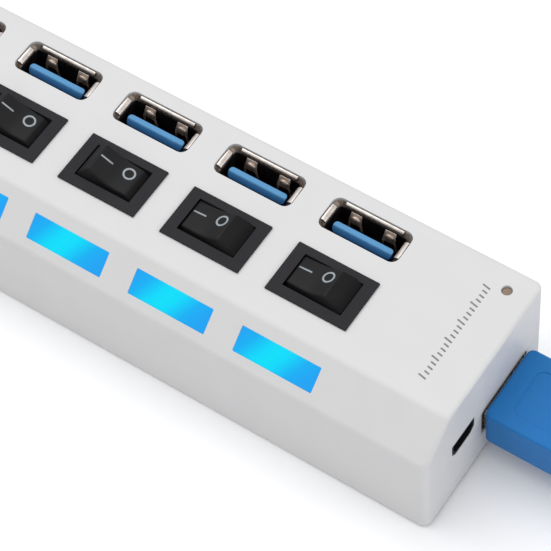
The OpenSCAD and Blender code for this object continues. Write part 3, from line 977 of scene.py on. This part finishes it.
def grip_mesh():
    """Moulded grip with a recessed panel on two sides, and its ribbed strain relief."""
    length, width, thick = GRIP
    bm = bmesh.new()
    middle = Matrix.Translation((length / 2, 0, 0))
    add_prism(bm, rounded_outline(length, width, GRIP_R), -thick / 2, thick / 2, middle)
    round_edges(bm, GRIP_EDGE_R, lambda p: True, segments=3)
    grip = to_mesh("plug_grip", bm, "grip")
    panels = bmesh.new()
    panel = Matrix.Translation((PANEL_X, 0, 0))
    face = thick / 2 - PANEL_DEPTH
    for low, high in ((face, thick), (-thick, -face)):
        add_prism(panels, rounded_outline(*PANEL, PANEL_R), low, high, panel)
    grip = carve(grip, panels)
    bm = bmesh.new()
    bm.from_mesh(grip)
    bmesh.ops.scale(bm, vec=(1 / MM,) * 3, verts=bm.verts)
    add_loft(bm, relief_rings(length))
    return to_mesh("plug_grip", bm, "grip")


def relief_rings(start, overlap=0.2, points=28):
    """Rings of the tapering strain relief, with every other group drawn in as a groove."""
    rings = []
    for k in range(RELIEF_STEPS + 1):
        share = k / RELIEF_STEPS
        ribbed = (k // STEPS_PER_RIB) % 2 == 0 or share > 0.95
        half_y, half_z = (
            (1 if ribbed else GROOVE) * (a + (b - a) * share)
            for a, b in zip(RELIEF_START, RELIEF_END)
        )
        x = start - overlap + (RELIEF_L + overlap) * share
        angles = [2 * math.pi * n / points for n in range(points)]
        rings.append([(x, half_y * math.cos(a), half_z * math.sin(a)) for a in angles])
    return rings


def plug_grips():
    """The grips of the plug in the hub and of the far one, which is returned."""
    mesh = grip_mesh()
    near = place_piece(
        "plug_grip_near",
        mesh,
        "cable",
        at=(GRIP_LOW.x, UP_AT.y, UP_AT.z),
        stands_for=["plug_grip"],
    )
    far = place_piece(
        "plug_grip_far",
        mesh,
        "cable",
        at=(FAR_EXIT_X + RELIEF_L + GRIP[0], UP_AT.y, FAR_Z),
        turn=Matrix.Rotation(math.pi, 3, "Z"),
        stands_for=["far_plug_grip"],
    )
    for piece in (near, far):
        soften(piece, 0.08, angle=40)
    return far


def fold(far, turns, rise_from, rise_to, climb_end=180):
    """Half a turn of the hank about its far or near fold, climbing as it goes."""
    points = []
    for turn in turns:
        share = min(abs(turn - turns[0]) / climb_end, 1)
        climb = (1 - math.cos(math.pi * share)) / 2
        angle = math.radians(turn)
        points.append(
            (
                HANK_X + (HANK_RUN if far else 0) + FOLD_R * math.cos(angle),
                UP_AT.y - FOLD_R + FOLD_R * math.sin(angle),
                rise_from + (rise_to - rise_from) * climb,
            )
        )
    return points


def cord_points():
    """The cord's route, repeated from part.scad: the lead, two loops and the tail."""
    y = UP_AT.y
    route = [
        tuple(EXIT),
        (131, y, 9.4),
        (137, y, 8.7),
        (143, y, 7.2),
        (149, y, 5.2),
        (155, y, 3.6),
        (161, y, 2.9),
        (167, y, CORD_R),
    ]
    levels = [CORD_R, CORD_R + CORD_D, FAR_Z]
    for low, high in zip(levels, levels[1:]):
        route += [(HANK_X + HANK_RUN * share, y, low) for share in (0.25, 0.5, 0.75)]
        route += fold(True, range(90, -91, -15), low, low)
        route += [
            (HANK_X + HANK_RUN * share, y - 2 * FOLD_R, low) for share in (0.75, 0.5, 0.25)
        ]
        route += fold(False, range(-90, -271, -15), low, high, CLIMB_END)
    route.append((FAR_EXIT_X, y, FAR_Z))
    return route


def cable():
    """The cord along its route, with both grips and the strap that holds the hank."""
    far_grip = plug_grips()
    data = bpy.data.curves.new("cord", "CURVE")
    data.dimensions = "3D"
    data.resolution_u = 4
    data.bevel_depth = CORD_R * MM
    data.bevel_resolution = 6
    data.use_fill_caps = True
    spline = data.splines.new("BEZIER")
    route = cord_points()
    spline.bezier_points.add(len(route) - 1)
    for knot, point in zip(spline.bezier_points, route):
        knot.co = Vector(point) * MM
        knot.handle_left_type = knot.handle_right_type = "AUTO"
    data.materials.append(PAINTS["cord"].material)
    cord = bpy.data.objects.new("cord", data)
    bpy.context.scene.collection.objects.link(cord)
    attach(cord, "cable")
    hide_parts("cord_lead", "cord_hank", "cord_tail")
    strap = strap_piece()


STRAP_W = 8
STRAP_T = 0.6
LAP_T = 0.5
LAP_Y = (6.8, -1.5, -2.2)  # where the lapped end starts, and where it ends above and below


def strap_outline(t):
    """The strap seen from the end, moved outwards by t from what it holds."""
    foot, shoulder = CORD_R + t, GRIP[1] / 2 + t
    hank, top = 2 * CORD_D, FAR_Z + GRIP[2] / 2 + t
    return [
        (foot, STRAP_T - t),
        (shoulder, hank),
        (shoulder, top),
        (-shoulder, top),
        (-shoulder, hank),
        (-foot, STRAP_T - t),
    ]


def strap_piece():
    """Woven strap round the hank and the loose plug, with its end lapped over the top."""
    at = middle_mm("cord_tie")
    bm = bmesh.new()
    place = along_x((at.x, UP_AT.y, 0))
    half = STRAP_W / 2
    add_ring(bm, strap_outline(STRAP_T), strap_outline(0), -half, half, place)
    low = FAR_Z + GRIP[2] / 2 + STRAP_T
    high = low + LAP_T
    start, end_above, end_below = LAP_Y
    lap = [(start, low), (start, high), (end_above, high), (end_below, low)]
    add_prism(bm, lap, -half, half, place)
    mesh = to_mesh("strap", bm, "tie")
    piece = place_piece("strap", mesh, "cable", stands_for=["cord_tie"])
    soften(piece, 0.2, angle=30)
    return piece


# ---------- light and floor ----------


def area_light(name, at, aim, size, power):
    """Round white lamp in metres and watts."""
    data = bpy.data.lights.new(name, "AREA")
    data.shape = "DISK"
    data.size = size
    data.energy = power
    light = bpy.data.objects.new(name, data)
    bpy.context.scene.collection.objects.link(light)
    light.matrix_world = Matrix.Translation(at) @ aimed(at, aim)


def studio():
    """White paper floor in a pale room, a large soft lamp above and a smaller one beside."""
    side, corner, thick = 4000, 1000, 5
    bm = bmesh.new()
    add_prism(bm, rounded_outline(side, side, corner, 12), -thick, 0)
    floor = bpy.data.objects.new("floor", to_mesh("floor", bm, "floor"))
    bpy.context.scene.collection.objects.link(floor)
    world = bpy.data.worlds.new("studio")
    world.use_nodes = True
    background = world.node_tree.nodes["Background"]
    background.inputs["Color"].default_value = (0.965, 0.972, 1, 1)
    background.inputs["Strength"].default_value = 0.74
    bpy.context.scene.world = world
    area_light("key", (-0.4, 0.06, 1.15), (0.02, 0, 0), 1.4, 9)
    area_light("fill", (1, 0.05, 0.65), (0.09, 0, 0), 0.8, 3.4)
    bpy.context.scene.view_settings.view_transform = "Standard"


# ---------- the scene ----------

add_camera()
cable()
case_cover()
power_inlet()
window_lenses()
printed_ticks()
sockets()
rockers()
for i in PORTS:
    dress(f"port_tongue_{i}", "port_tongue", 0.08)
    dress(f"switch_frame_{i}", "switch_frame", 0.08)
dress("bottom_cover", "case", 0.04)
for node, slot in {
    "rubber_feet": "feet",
    "case_screws": "screws",
    "board_screws": "screws",
    "circuit_board": "board",
    "hub_chips": "chips",
    "board_parts": "metal_cans",
    "indicator_leds": "led",
    "status_led": "light_pipe",
    "port_contacts": "contacts",
    "switch_contacts": "contacts",
    "upstream_shell": "socket_dark_metal",
    "upstream_tongue": "tongue",
    "plug_shell": "plug_metal",
    "plug_inserts": "tongue",
    "far_plug_shell": "plug_metal",
}.items():
    dress(node, slot)
studio()
